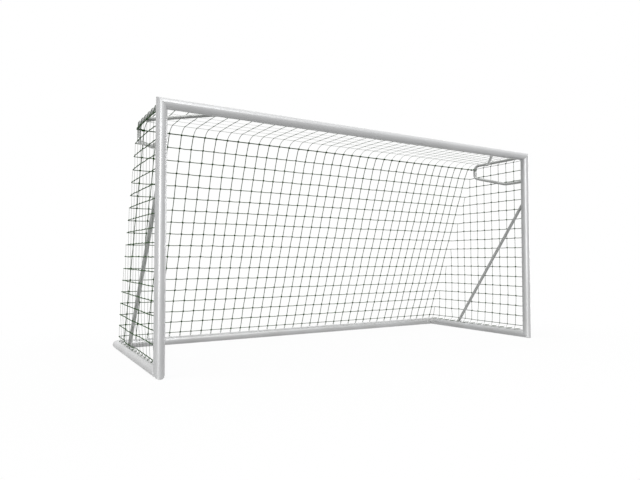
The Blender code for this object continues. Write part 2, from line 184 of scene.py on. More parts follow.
# Cords. The side columns and the top rows are thinner, because they read lighter in the photograph.
CORD_RADIUS = 0.0034
BACK_COLUMN_SHARE = 0.92
SIDE_COLUMN_RADII = {"left": 0.0010, "right": 0.0021}
SIDE_KNOT_SHARES = {"left": 0.60, "right": 0.95}
EDGE_KNOT_SHARE = 0.7
# The left head row is twice as thick as the right: partly a stouter header cord, partly dark cord put where
# the left hoop's underside lies in shade.
HEAD_ROW_RADII = {"left": 0.0040, "right": 0.0020}
TOP_COLUMN_RADII = (0.0023, 0.0011)
TOP_ROW_RADII = (0.0006, 0.0006, 0.0006, 0.0007, 0.0008, 0.0012)
TOP_KNOT_RADIUS = 0.0012
TOP_EDGE_TURNS = 2.5
WRAP_RADIUS = 0.0018
CORD_SIDES = 6
CORD_STEPS = 4
CORD_BOW = 0.0020
TOP_BOW = 0.0004
LONGEST_BOW = 1.2
WANDER = 0.0006
KNOT_JITTER = 0.0010
FLAT_JITTER = 0.0002
CLEARANCE = 0.0006

# Knots, in turns of cord, in points of their path and in shares of their cord's radius
KNOT_TURNS = 1.75
KNOT_END_POINTS = 4
KNOT_POINTS_PER_TURN = 6
KNOT_SIDES = 5
KNOT_WAIST = 0.80
KNOT_BULGE = 0.20
KNOT_SEAT = 0.75
KNOT_THICKNESS = 0.95
WRAP_PITCH = 2.1

# Edge cord: its turn from the crossbar to a post's back is in degrees round the post, with drops
EDGE_RADIUS = 0.0028
EDGE_SIDES = 8
EDGE_STEP = 0.010
EDGE_TURN = ((42, 0.0), (25, 0.001), (8, 0.006), (-8, 0.018))
EDGE_TURN_START = 0.033
EDGE_TURN_CLEAR = 0.0012
EDGE_POST_TOP = 0.04
EDGE_POST_FOOT = 0.02
EDGE_POST_STEP = 0.012
EDGE_CORNER = (0.0075, 0.005, 0.004)
EDGE_SIDE_START = 0.03
EDGE_SIDE_END = 0.01
EDGE_SIDE_STEP = 0.02
EDGE_REAR_INSET = 0.05

# Head rope, with its wraps round the hoops' bends and its lashings
ROPE_RADIUS = 0.0042
ROPE_SIDES = 12
ROPE_STEP = 0.004
ROPE_DROP = 0.040
ROPE_WRAPS = 1.4
ROPE_WRAP_STEP = math.radians(15)
ROPE_STRAIGHT_INSET = 0.012
ROPE_END_SHARE = 0.7
ROPE_BACK_SHARE = 0.8
HOOP_APPROACH = 0.03
HOOP_ARRIVAL = 0.01
LASHING_INSET = 0.034
LASHING_TURNS = 3.5

# Directions that a cord never runs along, from which its rings are turned
TOP_ROW_ACROSS = (0.12, 0.99, 0.08)
TIE_DOWN_ACROSS = (0.80, 0.50, 0.33)
EDGE_ACROSS = (0.57, 0.53, 0.63)
ROPE_ACROSS = (0.0, -0.35, 0.94)
MITRE_ACROSS = (0.0, 1.0, -1.0)

# Hooks and studs on the tubes; a collar is a list of rises and radii
HOOK_WIRE = 0.0020
HOOK_SIDES = 10
HOOK_REACH = 0.0145
HOOK_LIP = 0.010
HOOK_BEND = 0.004
HOOK_ROOT = 0.001
HOOK_FLARE_ROOM = 0.003
HOOK_FLARE = (0.0028, 0.0012)
HOOK_COLLAR = ((-0.001, 0.0042), (0.0008, 0.0040), (0.0018, 0.0030), (0.0022, 0.0022))
COLLAR_SIDES = 14
HOOK_TURN = math.radians(12)
POST_HOOK_LEAN = math.radians(-4)
HOOP_HOOK_GAP = 0.03
BRACE_HOOK_GAP = 0.045
STUD_HEIGHT = 0.0105
STUD_LIP = 0.012

# Loops round the rear bar's studs, and cords over the side bars to theirs, in degrees round the bar
LOOP_WIDTH = 0.0040
LOOP_TAPER = 0.35
LOOP_CORD = 0.0018
LOOP_POINTS = 16
TIE_DOWN_THIN = 0.0011
TIE_DOWN_GROWTH = 1.5
TIE_DOWN_CORD = 0.0030
TIE_DOWN_DEGREES = (-30, -20, -10, 0, 10)
TIE_DOWN_REACH = 0.055

# Weld beads
WELD_RADIUS = 0.0024
WELD_SIDES = 8
WELD_POINTS = 72
WELD_RIPPLE = 0.16
WELD_RIPPLE_PACE = 2.1
WELD_SCATTER = 0.04
MITRE_WELD_RADIUS = 0.0012
MITRE_WELD_POINTS = 160

# Button-head screws with hexagon sockets
HEAD_RADIUS = 0.0070
HEAD_HEIGHT = 0.0042
HEAD_RIM = 0.0006
HEAD_DOME = (60, 48, 36, 24, 12, 0)
HEAD_DOME_SHARE = 0.85
SOCKET_RADIUS = 0.0029
SOCKET_DEPTH = 0.0024
SOCKET_LIP = 0.0002
SOCKET_CHAMFER = 0.0004
HEXAGON_SHARE = 1.12
CHAMFER_HEXAGON = 0.6
SHANK_RADIUS = 0.0039
SHANK_LENGTH = 0.0158
SHANK_TAPER = 0.001
SEAT_FROM_TIP = 0.016
HEAD_FROM_SHANK = 1.4
SCREW_SIDES = 48
SHARP_ANGLE = math.radians(35)

# Powder coat
DUST_HEIGHT = 0.30
DUST_TONE = (0.50, 0.49, 0.45)

# Lamps: azimuth from the goal's front towards its left, elevation, strength and spread.
# Angles are in degrees.
LAMPS = {
    "key": (-10.0, 46.0, 0.93, 26.0),
    "low_front": (27.0, 6.0, 0.88, 16.0),
    "overhead": (80.0, 70.0, 2.15, 30.0),
    "low_right": (-108.0, 6.0, 0.72, 24.0),
}
AMBIENT = 0.06
AMBIENT_TONE = (0.97, 0.985, 1.0, 1.0)
WHITE = (1.0, 1.0, 1.0, 1.0)

# Floor: its tones, and where it fades to plain white
FLOOR_HALF = 60.0
FLOOR_TONE = (0.85, 0.85, 0.85)
FLOOR_BOUNCE = (0.12, 0.12, 0.12)
FLOOR_ROUGHNESS = 0.9
FLOOR_WHITE_NEAR = 0.95
FADE_START = 0.15
FADE_END = 1.8

# Where the net lies
NET_X = POST_X + HOOP_RADIUS + CORD_RADIUS + CLEARANCE
NET_TOP_Z = CROSSBAR_Z + HOOP_RADIUS + CORD_RADIUS + CLEARANCE
ROPE_Z = CROSSBAR_Z - ROPE_DROP
HEAD_ROW_Z = ROPE_Z + HEAD_ROW_RISE
EDGE_REACH = TUBE_RADIUS + EDGE_RADIUS + CLEARANCE
CROSS_EDGE_ANGLE = math.radians(-20)
POST_EDGE_OFFSET = 0.0070
POST_EDGE_CLEAR = 0.0215
HOOP_STEP = 0.036
BRACE_STEP = 0.055
FOOT_INSET = 0.012
BEND_Y = HOOP_REAR_Y - HOOP_TOP_RADIUS
BEND_Z = CROSSBAR_Z - HOOP_TOP_RADIUS
BRACE_FOOT_Y = FRONT_Y + BRACE_BAR_REACH
HOOP_FOOT_Z = CROSSBAR_Z - HOOP_FOOT_DROP
ROPE_REACH = HOOP_TOP_RADIUS + HOOP_RADIUS + ROPE_RADIUS + CLEARANCE
ROPE_Y = BEND_Y + math.sqrt(ROPE_REACH**2 - (ROPE_Z - BEND_Z) ** 2)
ROPE_TURN = math.acos((ROPE_Z - BEND_Z) / ROPE_REACH)
CROSS_EDGE_Y = FRONT_Y + EDGE_REACH * math.cos(CROSS_EDGE_ANGLE)
CROSS_EDGE_Z = CROSSBAR_Z + EDGE_REACH * math.sin(CROSS_EDGE_ANGLE)
FOOT_Z = BAR_Z + TUBE_RADIUS + CORD_RADIUS + CLEARANCE
FOOT_Y = REAR_Y - FOOT_INSET

ROW_PITCH = (CROSSBAR_Z - SIDE_FIRST_DROP - EDGE_ROW_HEIGHT) / (ROW_COUNT - 1)
ROW_ZS = [CROSSBAR_Z - SIDE_FIRST_DROP - k * ROW_PITCH for k in range(ROW_COUNT)]
COLUMNS = range(-COLUMNS_EACH_WAY, COLUMNS_EACH_WAY + 1)
LIGHT_ROW_Y = FRONT_Y + LIGHT_ROW_REACH
LIGHT_ROW_Z = NET_TOP_Z - LIGHT_ROW_DROP
TOP_ROW_YS = [LIGHT_ROW_Y - TOP_ROW_PITCH * (TOP_ROW_COUNT - t) for t in range(TOP_ROW_COUNT)]
SIDE_YS = [FRONT_Y + SIDE_FIRST_REACH + j * SIDE_PITCH for j in range(SIDE_COUNT)]
EDGE_Z = ROW_ZS[-1]


class Shader:
    """A material's node tree, with short calls for the nodes used here."""

    def __init__(self, name):
        self.material = bpy.data.materials.new(name)
        self.material.use_nodes = True
        self.nodes = self.material.node_tree.nodes
        self.links = self.material.node_tree.links
        self.surface = self.nodes["Principled BSDF"]

    def node(self, kind, inputs=None, **settings):
        made = self.nodes.new("ShaderNode" + kind)
        for name, value in settings.items():
            setattr(made, name, value)
        for socket, value in (inputs or {}).items():
            self.put(made.inputs[socket], value)
        return made

    def put(self, socket, value):
        if isinstance(value, bpy.types.NodeSocket):
            self.links.new(value, socket)
        else:
            socket.default_value = value

    def math(self, operation, first, second=0.0):
        return self.node("Math", {0: first, 1: second}, operation=operation).outputs[0]

    def noise(self, place, scale, detail=3.0, roughness=0.5):
        inputs = {"Vector": place, "Scale": scale, "Detail": detail, "Roughness": roughness}
        return self.node("TexNoise", inputs).outputs["Fac"]

    def span(self, value, low, high, to_low=0.0, to_high=1.0):
        inputs = {"Value": value, "From Min": low, "From Max": high, "To Min": to_low, "To Max": to_high}
        return self.node("MapRange", inputs).outputs["Result"]

    def mix(self, share, first, second):
        made = self.node("Mix", data_type="RGBA")
        self.put(made.inputs["Factor"], share)
        self.put(made.inputs["A"], (*first, 1.0) if isinstance(first, tuple) else first)
        self.put(made.inputs["B"], (*second, 1.0) if isinstance(second, tuple) else second)
        return made.outputs["Result"]

    def set(self, **values):
        for name, value in values.items():
            self.put(self.surface.inputs[name.replace("_", " ")], value)

    def bump(self, height, strength, distance):
        inputs = {"Height": height, "Strength": strength, "Distance": distance}
        self.set(Normal=self.node("Bump", inputs).outputs["Normal"])


def painted_tube(name, colour, shade):
    """Satin powder coat: orange peel, faint dust near the ground, fine handling marks."""
    made = Shader(name)
    place = made.node("TexCoord").outputs["Object"]
    height = made.node("SeparateXYZ", {0: place}).outputs["Z"]
    clouds = made.noise(place, scale=3.5, detail=4.0)
    low_down = made.span(height, low=DUST_HEIGHT, high=0.0)
    dust = made.math("MULTIPLY", low_down, made.span(clouds, low=0.35, high=0.75))
    scuffs = made.span(made.noise(place, scale=60.0, detail=6.0, roughness=0.7), low=0.66, high=0.78)
    wear = made.math("MAXIMUM", made.math("MULTIPLY", dust, 0.30), made.math("MULTIPLY", scuffs, 0.10))
    tone = made.mix(made.span(clouds, low=0.3, high=0.7), colour, shade)
    sheen = made.span(clouds, low=0.2, high=0.8, to_low=0.36, to_high=0.42)
    made.set(
        Base_Color=made.mix(wear, tone, DUST_TONE),
        Roughness=made.math("ADD", sheen, made.math("MULTIPLY", wear, 0.4)),
        Metallic=0.35,
        Coat_Weight=0.3,
        Coat_Roughness=0.3,
    )
    peel = made.noise(place, scale=420.0, detail=2.0)
    dents = made.math("MULTIPLY", scuffs, -0.5)
    made.bump(made.math("ADD", peel, dents), strength=0.22, distance=0.0004)
    return made.material


def twisted_cord(name, colour, pale, twist, strands, groove):
    """Laid cord: strands wind round it, read from the tube's own length and turn."""
    made = Shader(name)
    place = made.node("TexCoord").outputs["Object"]
    along = made.node("SeparateXYZ", {0: made.node("UVMap", uv_map="cord").outputs["UV"]})
    turns = made.math("ADD", made.math("DIVIDE", along.outputs["X"], twist), along.outputs["Y"])
    wave = made.math("COSINE", made.math("MULTIPLY", turns, 2 * math.pi * strands))
    ridge = made.span(wave, low=-1.0, high=0.6)
    fibre = made.noise(place, scale=1400.0, detail=2.0)
    age = made.noise(place, scale=9.0, detail=4.0)
    tone = made.mix(made.span(age, low=0.35, high=0.7), colour, pale)
    frayed = tuple(min(1.0, share * 2.2) for share in pale)
    worn = made.mix(made.math("MULTIPLY", fibre, 0.35), tone, frayed)
    shadow = tuple(share * 0.35 for share in colour)
    made.set(
        Base_Color=made.mix(made.span(ridge, low=0.0, high=1.0, to_low=0.65, to_high=0.0), worn, shadow),
        Roughness=made.span(fibre, low=0.2, high=0.8, to_low=0.55, to_high=0.75),
        Specular_IOR_Level=0.15,
    )
    relief = made.math("ADD", made.math("MULTIPLY", ridge, 0.8), made.math("MULTIPLY", fibre, 0.3))
    made.bump(relief, strength=0.8, distance=groove)
    return made.material


def cast_aluminium():
    """Grainy bare casting, for the corner connectors."""
    made = Shader("cast_aluminium")
    place = made.node("TexCoord").outputs["Object"]
    grain = made.noise(place, scale=300.0, detail=5.0, roughness=0.65)
    made.set(
        Base_Color=made.mix(grain, (0.52, 0.53, 0.54), (0.66, 0.67, 0.68)),
        Metallic=1.0,
        Roughness=made.span(grain, low=0.3, high=0.7, to_low=0.42, to_high=0.60),
    )
    made.bump(grain, strength=0.4, distance=0.0005)
    return made.material


def stainless_steel():
    """Brushed steel with fine lines, for the screws."""
    made = Shader("stainless_screw_steel")
    place = made.node("TexCoord").outputs["Object"]
    stretched = made.node("Mapping", {"Vector": place, "Scale": (1.0, 1.0, 14.0)}).outputs[0]
    lines = made.noise(stretched, scale=500.0)
    made.set(
        Base_Color=made.mix(lines, (0.56, 0.56, 0.55), (0.72, 0.72, 0.71)),
        Metallic=1.0,
        Roughness=made.span(lines, low=0.3, high=0.7, to_low=0.24, to_high=0.38),
    )
    made.bump(lines, strength=0.15, distance=0.0002)
    return made.material


FRAME_COAT = painted_tube("white_powder_coat", colour=(0.68, 0.685, 0.69), shade=(0.64, 0.645, 0.65))
# The thin tubes' coat is the white coat made greyer: painted shade, so that hoops, braces and ties read
# darker than the main tubes.
SHADED_THIN_COAT = painted_tube("thin_tube_coat_painted_shade", colour=(0.54, 0.55, 0.54), shade=(0.48, 0.49, 0.48))
NET_CORD = twisted_cord(
    "green_net_cord",
    colour=(0.009, 0.052, 0.003),
    pale=(0.020, 0.088, 0.006),
    twist=0.016,
    strands=3,
    groove=0.0006,
)
ROPE_CORD = twisted_cord(
    "green_edge_rope",
    colour=(0.007, 0.042, 0.003),
    pale=(0.016, 0.072, 0.006),
    twist=0.022,
    strands=4,
    groove=0.0009,
)
CASTING = cast_aluminium()
STEEL = stainless_steel()


def unit(vectors):
    return vectors / np.linalg.norm(vectors, axis=-1, keepdims=True)


class Skin:
    """Gathers surfaces and makes one mesh of them, with a UV map that runs along each cord."""

    def __init__(self):
        self.points = []
        self.faces = []
        self.uvs = []
        self.count = 0

    def add(self, points, faces, uvs):
        self.faces.extend([[corner + self.count for corner in face] for face in faces])
        self.points.append(np.asarray(points, float))
        self.uvs.append(np.asarray(uvs, float).reshape(-1, 2))
        self.count += len(points)

    def tube(self, path, radius, across, sides=CORD_SIDES, closed=False):
        """A round cord along a path that never runs along the direction across."""
        path = np.asarray(path, float)
        count = len(path)
        if closed:
            ahead = np.roll(path, -1, axis=0) - np.roll(path, 1, axis=0)
        else:
            ahead = np.gradient(path, axis=0)
        tangent = unit(ahead)
        right = unit(np.cross(np.broadcast_to(across, tangent.shape), tangent))
        up = np.cross(tangent, right)
        turn = 2 * math.pi * np.arange(sides) / sides
        radius = np.broadcast_to(radius, (count,))
        spokes = np.cos(turn)[None, :, None] * right[:, None] + np.sin(turn)[None, :, None] * up[:, None]
        points = (path[:, None] + spokes * radius[:, None, None]).reshape(-1, 3)
        steps = np.linalg.norm(np.diff(path, axis=0, append=path[:1]), axis=1)
        length = np.concatenate(([0.0], np.cumsum(steps)))
        rings = count if closed else count - 1
        ring, side = np.meshgrid(np.arange(rings), np.arange(sides), indexing="ij")
        after_ring, after_side = (ring + 1) % count, (side + 1) % sides
        corners = [(ring, side), (ring, after_side), (after_ring, after_side), (after_ring, side)]
        quads = np.stack([row * sides + place for row, place in corners], axis=-1).reshape(-1, 4)
        near, far = length[ring], length[ring + 1]
        first, second = side / sides, (side + 1) / sides
        uvs = np.stack([near, first, near, second, far, second, far, first], axis=-1).reshape(-1, 2)
        faces = quads.tolist()
        if not closed:
            last = (count - 1) * sides
            faces.append(list(range(sides))[::-1])
            faces.append(list(range(last, last + sides)))
            uvs = np.concatenate([uvs, np.zeros((2 * sides, 2))])
        self.add(points, faces, uvs)

    def object(self, name, material, slot, *replaced):
        mesh = bpy.data.meshes.new(name)
        mesh.from_pydata(np.concatenate(self.points).tolist(), [], self.faces)
        layer = mesh.uv_layers.new(name="cord")
        layer.data.foreach_set("uv", np.concatenate(self.uvs).ravel())
        mesh.shade_smooth()
        return placed(name, mesh, material, slot, *replaced)


def placed(name, mesh, material, slot, *replaced):
    """An object that rides on the part's body and stands in for the nodes named last."""
    obj = bpy.data.objects.new(name, mesh)
    bpy.context.scene.collection.objects.link(obj)
    mesh.materials.clear()
    mesh.materials.append(material)
    if replaced:
        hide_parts(*replaced)
    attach(obj, BODY)
    return obj


def bowed(knots, bow):
    """Points of a strand: its knots, and between each two a slight bow and a little wander."""
    knots = np.asarray(knots, float)
    steps = np.arange(CORD_STEPS) / CORD_STEPS
    start, run = knots[:-1], np.diff(knots, axis=0)
    size = np.linalg.norm(run, axis=1, keepdims=True) / ROW_PITCH
    lean = (np.asarray(bow) + RANDOM.normal(0.0, WANDER, start.shape)) * np.minimum(size, LONGEST_BOW)
    arch = (4 * steps * (1 - steps))[None, :, None]
    points = start[:, None] + run[:, None] * steps[None, :, None] + lean[:, None] * arch
    return np.concatenate([points.reshape(-1, 3), knots[-1:]])


def knot_path(turns, length, radius, count):
    """A short coil along local Z: the wraps of a knot."""
    share = np.linspace(0.0, 1.0, count)
    turn = 2 * math.pi * turns * share
    bulge = radius * (KNOT_WAIST + KNOT_BULGE * np.sin(math.pi * share))
    return np.stack([bulge * np.cos(turn), bulge * np.sin(turn), length * (share - 0.5)], axis=1)


def add_knot(skin, place, along, across, cord=CORD_RADIUS, core=CORD_RADIUS, turns=KNOT_TURNS):
    """Wraps of cord round the strand that runs along."""
    along = unit(np.asarray(along, float))
    side = unit(np.cross(along, across))
    front = np.cross(side, along)
    spin = RANDOM.uniform(0, 2 * math.pi)
    turned_side = side * math.cos(spin) + front * math.sin(spin)
    turned_front = np.cross(along, turned_side)
    count = KNOT_END_POINTS + int(KNOT_POINTS_PER_TURN * turns)
    path = knot_path(turns, turns * cord * WRAP_PITCH, core + cord * KNOT_SEAT, count)
    world = np.asarray(place) + path @ np.stack([turned_side, turned_front, along])
    skin.tube(world, cord * KNOT_THICKNESS, along, KNOT_SIDES)


def jitter(points, flat=None):
    """Knots a little off the even grid; along the axis named flat they stay nearly level."""
    spread = np.full(3, KNOT_JITTER)
    if flat is not None:
        spread[flat] = FLAT_JITTER
    return np.asarray(points, float) + RANDOM.normal(0.0, 1.0, np.shape(points)) * spread


def smooth(share):
    """An eased share between 0 and 1."""
    share = min(1.0, max(0.0, share))
    return share * share * (3 - 2 * share)


def back_y(z):
    """The back panel: over the head rope, then nearly straight down to the rear bar."""
    share = (ROPE_Z - z) / (ROPE_Z - FOOT_Z)
    start = ROPE_Y + BACK_GAP
    swell = BACK_SWELL * (1 - share) * smooth(share / BACK_SWELL_SHARE)
    return start + (FOOT_Y - start) * share + swell


def drawn_onto(place, beyond):
    """Slides a seen place along the camera's line of sight until beyond(place) turns positive."""
    camera = np.array(CAMERA_PLACE)
    sight = np.asarray(place, float) - camera
    near, far = SIGHT_NEAR, SIGHT_FAR
    for _ in range(SIGHT_STEPS):
        halfway = (near + far) / 2
        if beyond(camera + sight * halfway) < 0:
            near = halfway
        else:
            far = halfway
    return camera + sight * near


def brace_distance(y, z):
    """Distance of a place in the side's plane from the brace's axis."""
    rise = (BRACE_POST_HEIGHT - BAR_Z) / BRACE_BAR_REACH
    return abs(z - BRACE_POST_HEIGHT + rise * (y - FRONT_Y)) / math.hypot(1.0, rise)


def side_x(y, z):
    """The side panel passes outside hoop and brace, and draws in to the ground bar's top."""
    fold = back_y(z)
    share = (y - FRONT_Y - EDGE_REACH) / (fold - FRONT_Y - EDGE_REACH)
    spread = NET_X - FOLD_INSET * max(0.0, share) ** 3
    over_brace = 1 - smooth((brace_distance(y, z) - BRACE_CLEAR) / BRACE_EASE)
    out = max(smooth((z - FOOT_Z) / SIDE_DRAW_IN), over_brace)
    return POST_X + (spread - POST_X) * out


def post_offset(z):
    """Sideways offset of the edge cord behind a post: it steps out round hoop and brace."""
    steps = ((HOOP_FOOT_Z, HOOP_STEP), (BRACE_POST_HEIGHT, BRACE_STEP))
    out = max(math.exp(-(((z - foot) / reach) ** 4)) for foot, reach in steps)
    return POST_EDGE_OFFSET + (POST_EDGE_CLEAR - POST_EDGE_OFFSET) * out


def row_drop(side, z, y):
    """The left panel's rows hang a little lower towards the post, its edge cord most."""
    if side > 0:
        return 0.0
    front = FRONT_Y + EDGE_REACH
    share = (back_y(z) - y) / (back_y(z) - front)
    return min(1.0, max(0.0, share)) * (LEFT_ROW_DROP if z > EDGE_Z else LEFT_EDGE_DROP)


def column_shift(side, z):
    """The right panel's columns lean back a little towards their tops."""
    if side < 0:
        return 0.0
    return RIGHT_TOP_SHIFT * max(0.0, z - RIGHT_SHIFT_START) / RIGHT_SHIFT_RISE


def beside_post(side, z, reach=EDGE_REACH):
    """A place behind a post, at the edge cord's offset."""
    offset = post_offset(z)
    return np.array((side * (POST_X + offset), FRONT_Y + math.sqrt(reach**2 - offset**2), z))


def fold_points(side, z, whole=False):
    """The turn of one row from the side panel into the back panel; its first half, or all of it."""
    radius = FOLD_RADII["left" if side < 0 else "right"]
    rear = back_y(z)
    centre = np.array((side * (side_x(rear, z) - radius), rear - radius, z))
    angles = np.radians(QUARTER_TURN if whole else QUARTER_TURN[:3])
    return [centre + radius * np.array((side * math.cos(a), math.sin(a), 0.0)) for a in angles]


def seen_column(n):
    """Sideways place of a column on the seen grid."""
    return SEEN_COLUMN_START + n * SEEN_COLUMN_PITCH


def back_knots():
    """Crossings of the back panel, row by row; the lowest row is the edge cord's and is level."""
    rows = []
    for k in range(ROW_COUNT):
        z = SEEN_ROW_START - k * SEEN_ROW_PITCH
        y = SEEN_DEPTH + SEEN_SLOPE * (SEEN_LEVEL - z)
        row = [drawn_onto((seen_column(n), y, z), lambda p: p[1] - back_y(p[2])) for n in COLUMNS]
        rows.append(jitter(row))
    rows[-1] = np.array([(place[0], back_y(EDGE_Z), EDGE_Z) for place in rows[-1]])
    return np.array(rows)


def rope_columns():
    """Where the columns cross the head rope."""
    seen = [(seen_column(n), *SEEN_ROPE) for n in COLUMNS]
    return [drawn_onto(place, lambda p: p[1] - ROPE_Y)[0] for place in seen]


def top_knots():
    """Crossings of the top panel; its last row, seen paler, lies a little lower."""
    rows = [jitter([(n * TOP_COLUMN_PITCH, y, NET_TOP_Z) for n in COLUMNS], 2) for y in TOP_ROW_YS]
    seen = [(seen_column(n), *SEEN_LIGHT_ROW) for n in COLUMNS]
    rows.append(jitter([drawn_onto(place, lambda p: p[2] - LIGHT_ROW_Z) for place in seen], 2))
    return np.array(rows)


def add_loop(skin, top, foot, along):
    """A mesh's doubled end: a narrow ring from its knot down round a stud on the bar."""
    top, foot, along = (np.asarray(v, float) for v in (top, foot, along))
    up = top - foot
    angles = np.linspace(0, 2 * math.pi, LOOP_POINTS, endpoint=False)
    width = LOOP_WIDTH * (1 - LOOP_TAPER * np.sin(angles))
    path = foot + up * (0.5 + 0.5 * np.sin(angles))[:, None] + along * (width * np.cos(angles))[:, None]
    skin.tube(path, LOOP_CORD, unit(np.cross(up, along)), closed=True)


def add_back_net(knots, crossings):
    """Back panel: its rows reach into the folds, and its columns hang from the head rope."""
    skin = Skin()
    sag = (0.0, 0.0, -CORD_BOW)
    for row in knots[:-1]:
        left = fold_points(-1, row[0][2])[::-1]
        right = fold_points(1, row[-1][2])[::-1]
        skin.tube(bowed([*left, *row, *right[::-1]], sag), CORD_RADIUS, Z_AXIS)
    for index, x in enumerate(crossings):
        over_rope = (x, ROPE_Y + ROPE_RADIUS + CORD_RADIUS, ROPE_Z)
        column = [over_rope, *knots[:, index]]
        skin.tube(bowed(column, (0.0, 0.0, 0.0)), CORD_RADIUS * BACK_COLUMN_SHARE, X_AXIS)
        for before, place, after in zip(column, column[1:-1], column[2:]):
            add_knot(skin, place, np.subtract(after, before), Y_AXIS)
        add_knot(skin, column[-1], X_AXIS, Z_AXIS, CORD_RADIUS, EDGE_RADIUS)
        add_loop(skin, column[-1], (column[-1][0], FOOT_Y, FOOT_Z), X_AXIS)
    return skin.object("knotted_back_net", NET_CORD, "net_cord", "back_net")


def over_hoop(side, y, column):
    """End of a top row: aslant over the hoop and down its outer side to a column of the side panel."""
    reach = HOOP_RADIUS + WRAP_RADIUS + CLEARANCE
    end_y = SIDE_YS[column] + column_shift(side, HEAD_ROW_Z)
    points = [(side * (POST_X - HOOP_APPROACH), y, NET_TOP_Z)]
    length = reach * math.pi / 2 + CROSSBAR_Z - HEAD_ROW_Z
    for degrees in range(90, -1, -15):
        angle = math.radians(degrees)
        place_y = y + (end_y - y) * reach * (math.pi / 2 - angle) / length
        turn = math.asin(min(1.0, max(0.0, place_y - BEND_Y) / HOOP_TOP_RADIUS))
        fall = HOOP_TOP_RADIUS * (1 - math.cos(turn))
        x = side * (POST_X + reach * math.cos(angle))
        points.append((x, place_y, CROSSBAR_Z - fall + reach * math.sin(angle)))
    return [*points, (side * side_x(end_y, HEAD_ROW_Z), end_y, HEAD_ROW_Z)]


def add_top_net(knots, crossings):
    """Top panel: its rows run over the hoops, and its columns arch from crossbar to head rope."""
    skin = Skin()
    sag = (0.0, 0.0, -TOP_BOW)
    wrapped = (POST_X - HOOP_APPROACH, POST_X - HOOP_ARRIVAL)
    for number, row in enumerate(knots):
        left, right = (over_hoop(side, row[end][1], number) for side, end in ((-1, 0), (1, -1)))
        path = bowed([*left[::-1], *row, *right], sag)
        radii = np.interp(abs(path[:, 0]), wrapped, (TOP_ROW_RADII[number], WRAP_RADIUS))
        skin.tube(path, radii, unit(np.array(TOP_ROW_ACROSS)))
    for index, x in enumerate(crossings):
        column_radius = np.interp(index, (0, len(crossings) - 1), TOP_COLUMN_RADII)
        start = (COLUMNS[index] * TOP_COLUMN_PITCH, CROSS_EDGE_Y, CROSS_EDGE_Z)
        over_rope = (x, ROPE_Y + ROPE_RADIUS * ROPE_BACK_SHARE, ROPE_Z + ROPE_RADIUS)
        column = [start, *knots[:, index], over_rope]
        last, rise = column[-2], np.array(TOP_ARCH)
        shares = np.array(ARCH_SHARES)[:, None]
        arch = last + (over_rope - last) * shares + rise * 4 * shares * (1 - shares)
        skin.tube(bowed([*column[:-1], *arch, over_rope], sag), column_radius, X_AXIS)
        add_knot(skin, start, X_AXIS, Z_AXIS, CORD_RADIUS, EDGE_RADIUS, TOP_EDGE_TURNS)
        add_knot(skin, (x, ROPE_Y, ROPE_Z), X_AXIS, Z_AXIS, CORD_RADIUS, ROPE_RADIUS)
        for before, place, after in zip(column, column[1:-1], column[2:]):
            add_knot(skin, place, np.subtract(after, before), Z_AXIS, TOP_KNOT_RADIUS, column_radius)
    return skin.object("knotted_top_net", NET_CORD, "net_cord", "top_net")


def rope_wrap(side, angle):
    """Axis of the head rope's end where it winds round a hoop's bend, at an angle from its straight run."""
    outside = HOOP_RADIUS + ROPE_RADIUS + CLEARANCE
    turn = ROPE_TURN - angle / (2 * math.pi) * WRAP_PITCH * ROPE_RADIUS / HOOP_TOP_RADIUS
    reach = HOOP_TOP_RADIUS + outside * math.cos(angle)
    x = side * (POST_X + outside * math.sin(angle))
    return (x, BEND_Y + reach * math.sin(turn), BEND_Z + reach * math.cos(turn))


def add_tie_down(skin, side, top):
    """A cord from a mesh's knot down to the side bar, and aslant over the bar's top to its stud."""
    reach = TUBE_RADIUS + TIE_DOWN_CORD + CLEARANCE
    path = [top]
    shares = np.linspace(0.0, 1.0, len(TIE_DOWN_DEGREES))
    for angle, share in zip(np.radians(TIE_DOWN_DEGREES), shares):
        y = top[1] - TIE_DOWN_REACH * share
        path.append((side * (POST_X + reach * math.sin(angle)), y, BAR_Z + reach * math.cos(angle)))
    radii = [TIE_DOWN_THIN, TIE_DOWN_THIN * TIE_DOWN_GROWTH, *[TIE_DOWN_CORD] * (len(path) - 2)]
    skin.tube(path, radii, unit(np.array(TIE_DOWN_ACROSS) * (side, 1, 1)))


def rearmost(row, z, last):
    """How far back the knots of a side row may lie: short of the fold, or past the hoop's bend."""
    if row == 0:
        return BEND_Y + HEAD_ROW_BEYOND
    return back_y(z) - (EDGE_FOLD_MARGIN if row == last else FOLD_MARGIN)


